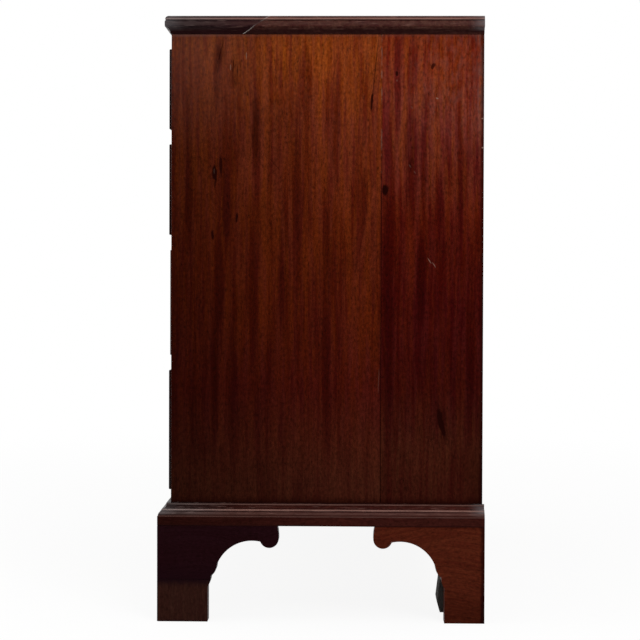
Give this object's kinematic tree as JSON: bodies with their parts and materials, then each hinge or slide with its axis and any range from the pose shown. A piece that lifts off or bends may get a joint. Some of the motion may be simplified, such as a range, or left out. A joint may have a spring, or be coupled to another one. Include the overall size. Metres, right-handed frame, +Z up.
{
  "type": "bachelors chest",
  "caption": "Small mahogany chest of long graduated drawers with cock beads, brass swan-neck handles, moulded top and base, and shaped bracket feet.",
  "frame": {"origin": "on the floor under the middle of the chest's outline", "axes": "+Z up, the drawer fronts face -Y, +X to the right of someone who faces the front"},
  "size_m": [0.767, 0.425, 0.7875],
  "materials": {
    "case_mahogany": "aged wax and shellac polish, satin to gloss",
    "drawer_mahogany": "shellac polish, gloss",
    "dark_mahogany": "darkened polish with dirt in the hollows",
    "oak": "bare planed wood, browned by age",
    "pine": "bare sawn wood, browned and dusty",
    "brass": "cast and filed, dulled with age"
  },
  "bodies": {
    "carcase": {"top_board": "case_mahogany", "top_edge_splice": "dark_mahogany", "left_side_front_board": "case_mahogany", "left_side_rear_board": "case_mahogany", "right_side_front_board": "case_mahogany", "right_side_rear_board": "case_mahogany", "top_rail": "drawer_mahogany", "divider_rails": "drawer_mahogany", "bottom_rail": "drawer_mahogany", "case_bottom": "pine", "dustboards": "pine", "drawer_runners": "oak", "drawer_stops": "oak", "top_kickers": "oak", "back_boards": "pine", "base_moulding_front": "dark_mahogany", "base_moulding_left": "dark_mahogany", "base_moulding_right": "dark_mahogany", "front_left_foot": "dark_mahogany", "front_right_foot": "dark_mahogany", "front_right_foot_tip": "dark_mahogany", "rear_left_foot": "dark_mahogany", "rear_right_foot": "dark_mahogany", "foot_blocks": "pine"},
    "drawer_1": {"drawer_1_front": "drawer_mahogany", "drawer_1_sides": "oak", "drawer_1_back": "oak", "drawer_1_bottom": "oak", "drawer_1_cock_bead": "dark_mahogany", "drawer_1_lock": "brass", "drawer_1_handle_posts": "brass"},
    "drawer_1_left_bail": {"drawer_1_left_bail": "brass"},
    "drawer_1_right_bail": {"drawer_1_right_bail": "brass"},
    "drawer_2": {"drawer_2_front": "drawer_mahogany", "drawer_2_sides": "oak", "drawer_2_back": "oak", "drawer_2_bottom": "oak", "drawer_2_cock_bead": "dark_mahogany", "drawer_2_lock": "brass", "drawer_2_handle_posts": "brass"},
    "drawer_2_left_bail": {"drawer_2_left_bail": "brass"},
    "drawer_2_right_bail": {"drawer_2_right_bail": "brass"},
    "drawer_3": {"drawer_3_front": "drawer_mahogany", "drawer_3_sides": "oak", "drawer_3_back": "oak", "drawer_3_bottom": "oak", "drawer_3_cock_bead": "dark_mahogany", "drawer_3_lock": "brass", "drawer_3_handle_posts": "brass"},
    "drawer_3_left_bail": {"drawer_3_left_bail": "brass"},
    "drawer_3_right_bail": {"drawer_3_right_bail": "brass"},
    "drawer_4": {"drawer_4_front": "drawer_mahogany", "drawer_4_sides": "oak", "drawer_4_back": "oak", "drawer_4_bottom": "oak", "drawer_4_cock_bead": "dark_mahogany", "drawer_4_lock": "brass", "drawer_4_handle_posts": "brass"},
    "drawer_4_left_bail": {"drawer_4_left_bail": "brass"},
    "drawer_4_right_bail": {"drawer_4_right_bail": "brass"}
  },
  "joints": [
    {"name": "drawer_1_slide", "type": "slide", "parent": "carcase", "child": "drawer_1", "axis": [0, -1, 0], "range_m": [0, 0.3]},
    {"name": "drawer_1_left_bail_swing", "type": "hinge", "parent": "drawer_1", "child": "drawer_1_left_bail", "pos_m": [-0.2, -0.2061, 0.7029], "axis": [-1, 0, 0], "range_deg": [0, 100]},
    {"name": "drawer_1_right_bail_swing", "type": "hinge", "parent": "drawer_1", "child": "drawer_1_right_bail", "pos_m": [0.2, -0.2061, 0.7029], "axis": [-1, 0, 0], "range_deg": [0, 100]},
    {"name": "drawer_2_slide", "type": "slide", "parent": "carcase", "child": "drawer_2", "axis": [0, -1, 0], "range_m": [0, 0.3]},
    {"name": "drawer_2_left_bail_swing", "type": "hinge", "parent": "drawer_2", "child": "drawer_2_left_bail", "pos_m": [-0.2, -0.2061, 0.5709], "axis": [-1, 0, 0], "range_deg": [0, 100]},
    {"name": "drawer_2_right_bail_swing", "type": "hinge", "parent": "drawer_2", "child": "drawer_2_right_bail", "pos_m": [0.2, -0.2061, 0.5709], "axis": [-1, 0, 0], "range_deg": [0, 100]},
    {"name": "drawer_3_slide", "type": "slide", "parent": "carcase", "child": "drawer_3", "axis": [0, -1, 0], "range_m": [0, 0.3]},
    {"name": "drawer_3_left_bail_swing", "type": "hinge", "parent": "drawer_3", "child": "drawer_3_left_bail", "pos_m": [-0.2, -0.2046, 0.42215], "axis": [-1, 0, 0], "range_deg": [0, 100]},
    {"name": "drawer_3_right_bail_swing", "type": "hinge", "parent": "drawer_3", "child": "drawer_3_right_bail", "pos_m": [0.2, -0.2046, 0.42215], "axis": [-1, 0, 0], "range_deg": [0, 100]},
    {"name": "drawer_4_slide", "type": "slide", "parent": "carcase", "child": "drawer_4", "axis": [0, -1, 0], "range_m": [0, 0.3]},
    {"name": "drawer_4_left_bail_swing", "type": "hinge", "parent": "drawer_4", "child": "drawer_4_left_bail", "pos_m": [-0.2, -0.2061, 0.25415], "axis": [-1, 0, 0], "range_deg": [0, 100]},
    {"name": "drawer_4_right_bail_swing", "type": "hinge", "parent": "drawer_4", "child": "drawer_4_right_bail", "pos_m": [0.2, -0.2061, 0.25415], "axis": [-1, 0, 0], "range_deg": [0, 100]}
  ]
}
